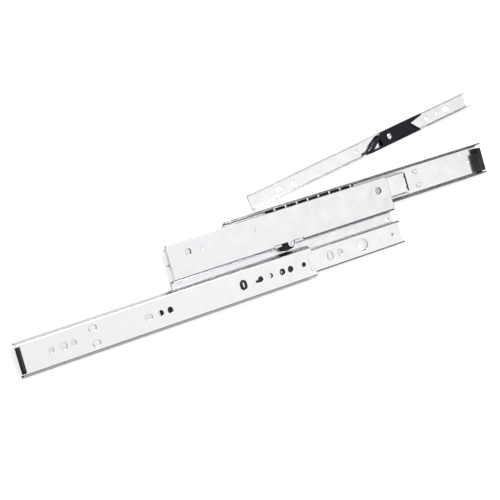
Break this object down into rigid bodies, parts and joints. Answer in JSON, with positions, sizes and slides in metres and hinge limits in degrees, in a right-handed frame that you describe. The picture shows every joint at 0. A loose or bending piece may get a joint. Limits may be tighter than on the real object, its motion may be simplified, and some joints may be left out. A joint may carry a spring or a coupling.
{
  "type": "drawer slide",
  "caption": "Over-extension ball-bearing drawer slide: two telescopic slides joined side by side by a Z bracket with a catch, plus a quick-release rail with a lever.",
  "frame": {"origin": "on the drawer rail's back face, on its centreline, level with the middle of the Z bracket", "axes": "+X along the slides in the direction that the drawer opens, +Y across them from the cabinet rail to the drawer rail, +Z out of the drawer rail's hollow side, up off the surface that it lies on"},
  "size_m": [0.7942, 0.1855, 0.0153],
  "materials": {
    "rail_zinc": "bright zinc-plated sheet steel",
    "bracket_zinc": "zinc-plated sheet steel, slightly duller",
    "ball_steel": "polished hardened steel",
    "cage_black": "blackened and greased steel",
    "rivet_steel": "bright plated rivets and pins",
    "spring_steel": "drawn spring wire",
    "lever_plastic": "moulded black-blue plastic, satin",
    "catch_plastic": "moulded black plastic",
    "bumper_rubber": "dark elastomer buffer"
  },
  "bodies": {
    "cabinet_rail": {"cabinet_rail": "rail_zinc", "cabinet_bumper": "bumper_rubber"},
    "lower_outer_cage": {"lower_outer_cage": "cage_black", "lower_outer_balls": "ball_steel"},
    "lower_middle": {"lower_middle_rail": "rail_zinc", "lower_middle_stop": "catch_plastic"},
    "lower_inner_cage": {"lower_inner_cage": "cage_black", "lower_inner_balls": "ball_steel"},
    "bracket": {"z_bracket": "bracket_zinc", "lower_inner_rail": "rail_zinc", "lower_rivets": "rivet_steel", "upper_inner_rail": "rail_zinc", "upper_rivets": "rivet_steel", "catch_clip": "bracket_zinc", "catch_pin": "rivet_steel", "catch_spring": "spring_steel"},
    "catch": {"sequence_catch": "catch_plastic"},
    "upper_inner_cage": {"upper_inner_cage": "cage_black", "upper_inner_balls": "ball_steel"},
    "upper_middle": {"upper_middle_rail": "rail_zinc", "upper_middle_stop": "catch_plastic"},
    "upper_outer_cage": {"upper_outer_cage": "cage_black", "upper_outer_balls": "ball_steel"},
    "drawer_rail": {"drawer_rail": "rail_zinc", "drawer_bumper": "bumper_rubber"},
    "release_rail": {"release_rail": "rail_zinc", "lever_rivet": "rivet_steel"},
    "release_lever": {"release_lever": "lever_plastic"}
  },
  "joints": [
    {"name": "lower_middle_slide", "type": "slide", "parent": "cabinet_rail", "child": "lower_middle", "axis": [1, 0, 0], "range_m": [-0.19, 0.026]},
    {"name": "lower_outer_cage_roll", "type": "slide", "parent": "cabinet_rail", "child": "lower_outer_cage", "axis": [1, 0, 0], "range_m": [-0.096, 0.0135]},
    {"name": "bracket_slide", "type": "slide", "parent": "lower_middle", "child": "bracket", "axis": [1, 0, 0], "range_m": [-0.016, 0.18]},
    {"name": "lower_inner_cage_roll", "type": "slide", "parent": "lower_middle", "child": "lower_inner_cage", "axis": [1, 0, 0], "range_m": [-0.009, 0.091]},
    {"name": "upper_middle_slide", "type": "slide", "parent": "bracket", "child": "upper_middle", "axis": [1, 0, 0], "range_m": [-0.016, 0.18]},
    {"name": "upper_inner_cage_roll", "type": "slide", "parent": "bracket", "child": "upper_inner_cage", "axis": [1, 0, 0], "range_m": [-0.009, 0.091]},
    {"name": "drawer_rail_slide", "type": "slide", "parent": "upper_middle", "child": "drawer_rail", "axis": [1, 0, 0], "range_m": [-0.114, 0.13]},
    {"name": "upper_outer_cage_roll", "type": "slide", "parent": "upper_middle", "child": "upper_outer_cage", "axis": [1, 0, 0], "range_m": [-0.058, 0.066]},
    {"name": "catch_hinge", "type": "hinge", "parent": "bracket", "child": "catch", "pos_m": [0.0028, -0.0312, 0.008], "axis": [0, 0, 1], "range_deg": [-12, 0], "stiffness_Nm_per_rad": 0.05, "springref_deg": 5.73},
    {"name": "release_rail_slide", "type": "slide", "parent": "cabinet_rail", "child": "release_rail", "axis": [0.9921, 0.1253, 0], "range_m": [0, 0.06]},
    {"name": "release_lever_hinge", "type": "hinge", "parent": "release_rail", "child": "release_lever", "pos_m": [0.21551, 0.06825, 0.004], "axis": [0, 0, 1], "range_deg": [-2.5, 2.5], "stiffness_Nm_per_rad": 0.2}
  ],
  "couplings": [
    {"joint": "lower_outer_cage_roll", "follows": "lower_middle_slide", "ratio": 0.5},
    {"joint": "lower_inner_cage_roll", "follows": "bracket_slide", "ratio": 0.5},
    {"joint": "upper_inner_cage_roll", "follows": "upper_middle_slide", "ratio": 0.5},
    {"joint": "upper_outer_cage_roll", "follows": "drawer_rail_slide", "ratio": 0.5}
  ]
}
